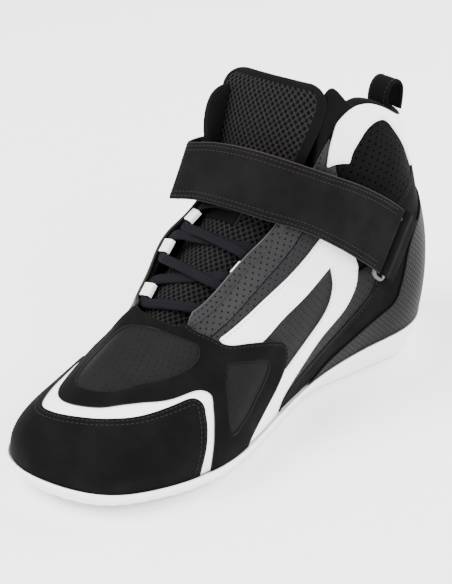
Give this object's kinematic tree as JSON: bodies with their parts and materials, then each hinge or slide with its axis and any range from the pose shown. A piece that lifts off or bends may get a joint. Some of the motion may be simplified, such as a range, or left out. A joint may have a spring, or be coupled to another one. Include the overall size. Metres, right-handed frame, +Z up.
{
  "type": "high-top riding shoe",
  "caption": "Left high-top riding shoe: white cup sole, black leather panels with white stripes, laces, mesh tongue, instep strap folded back through a ring, and a heel pull loop.",
  "frame": {"origin": "on the ground under the waist of the sole, the foot's long axis through it", "axes": "+Z up, toe towards -Y, heel towards +Y, lateral side of the left foot towards +X"},
  "size_m": [0.1072, 0.3079, 0.2012],
  "materials": {
    "outsole": "satin white moulded rubber",
    "steel": "plain bright steel",
    "board": "plain fibre and stiffener sheet",
    "knit": "close black knit",
    "perforated_leather": "dark grey leather with fine round perforations",
    "flex_leather": "charcoal leather, lightly pricked",
    "nubuck": "black nubuck, cut edges left tan-grey",
    "white_leather": "smooth white coated leather",
    "embossed_heel": "grey sheet embossed with small rhombs",
    "spacer_mesh": "open-cell black spacer mesh",
    "lace_cord": "braided navy-black flat cord",
    "webbing": "white woven tape"
  },
  "bodies": {
    "shoe": {"outsole": "outsole", "shank": "steel", "strap_ring": "steel", "insole_board": "board", "toe_puff": "board", "heel_stiffener": "board", "footbed": "knit", "vamp_lining": "knit", "quarter_lining_lateral": "knit", "heel_lining": "knit", "quarter_lining_medial": "knit", "vamp_base": "knit", "collar_padding": "knit", "loop_patch": "knit", "quarter_lateral": "perforated_leather", "quarter_medial": "perforated_leather", "eyestay_lateral": "perforated_leather", "eyestay_medial": "perforated_leather", "ankle_patch_lateral": "flex_leather", "ankle_patch_medial": "flex_leather", "vamp_flex_insert": "flex_leather", "flex_insert_lateral": "flex_leather", "achilles_panel": "nubuck", "heel_overlay": "nubuck", "toe_cap": "nubuck", "vamp_overlay": "nubuck", "strap_under": "nubuck", "ring_anchor": "nubuck", "pull_loop_tab": "nubuck", "tongue_patch": "nubuck", "toe_band": "white_leather", "stripe_lateral": "white_leather", "stripe_medial": "white_leather", "collar_panel_lateral": "white_leather", "collar_panel_medial": "white_leather", "heel_counter": "embossed_heel", "tongue": "spacer_mesh", "lace": "lace_cord", "lace_loop_medial_1": "webbing", "lace_loop_medial_2": "webbing", "lace_loop_medial_3": "webbing", "lace_loop_lateral_1": "webbing", "lace_loop_lateral_2": "webbing", "lace_loop_lateral_3": "webbing"},
    "strap_flap": {"strap_flap": "nubuck"},
    "strap_tip": {"strap_tip": "nubuck", "hook_patch": "knit"},
    "tongue_top": {"tongue_top": "spacer_mesh"},
    "pull_loop": {"pull_loop": "nubuck"}
  },
  "joints": [
    {"name": "strap_flap_open", "type": "hinge", "parent": "shoe", "child": "strap_flap", "pos_m": [0.04579, 0.07912, 0.10045], "axis": [-0.02, 0.529, 0.8484], "range_deg": [0, 40]},
    {"name": "strap_tip_peel", "type": "hinge", "parent": "strap_flap", "child": "strap_tip", "pos_m": [-0.00489, -0.00369, 0.15197], "axis": [0.1004, 0.3247, 0.9405], "range_deg": [0, 140]},
    {"name": "tongue_fold", "type": "hinge", "parent": "shoe", "child": "tongue_top", "pos_m": [-0.0041, 0.01778, 0.16908], "axis": [0.9872, 0.1595, 0], "range_deg": [0, 35]},
    {"name": "pull_loop_fold", "type": "hinge", "parent": "shoe", "child": "pull_loop", "pos_m": [0, 0.1323, 0.1554], "axis": [-1, 0, 0], "range_deg": [0, 60]}
  ],
  "couplings": [
    {"joint": "strap_tip_peel", "follows": "strap_flap_open", "ratio": 3.5}
  ]
}
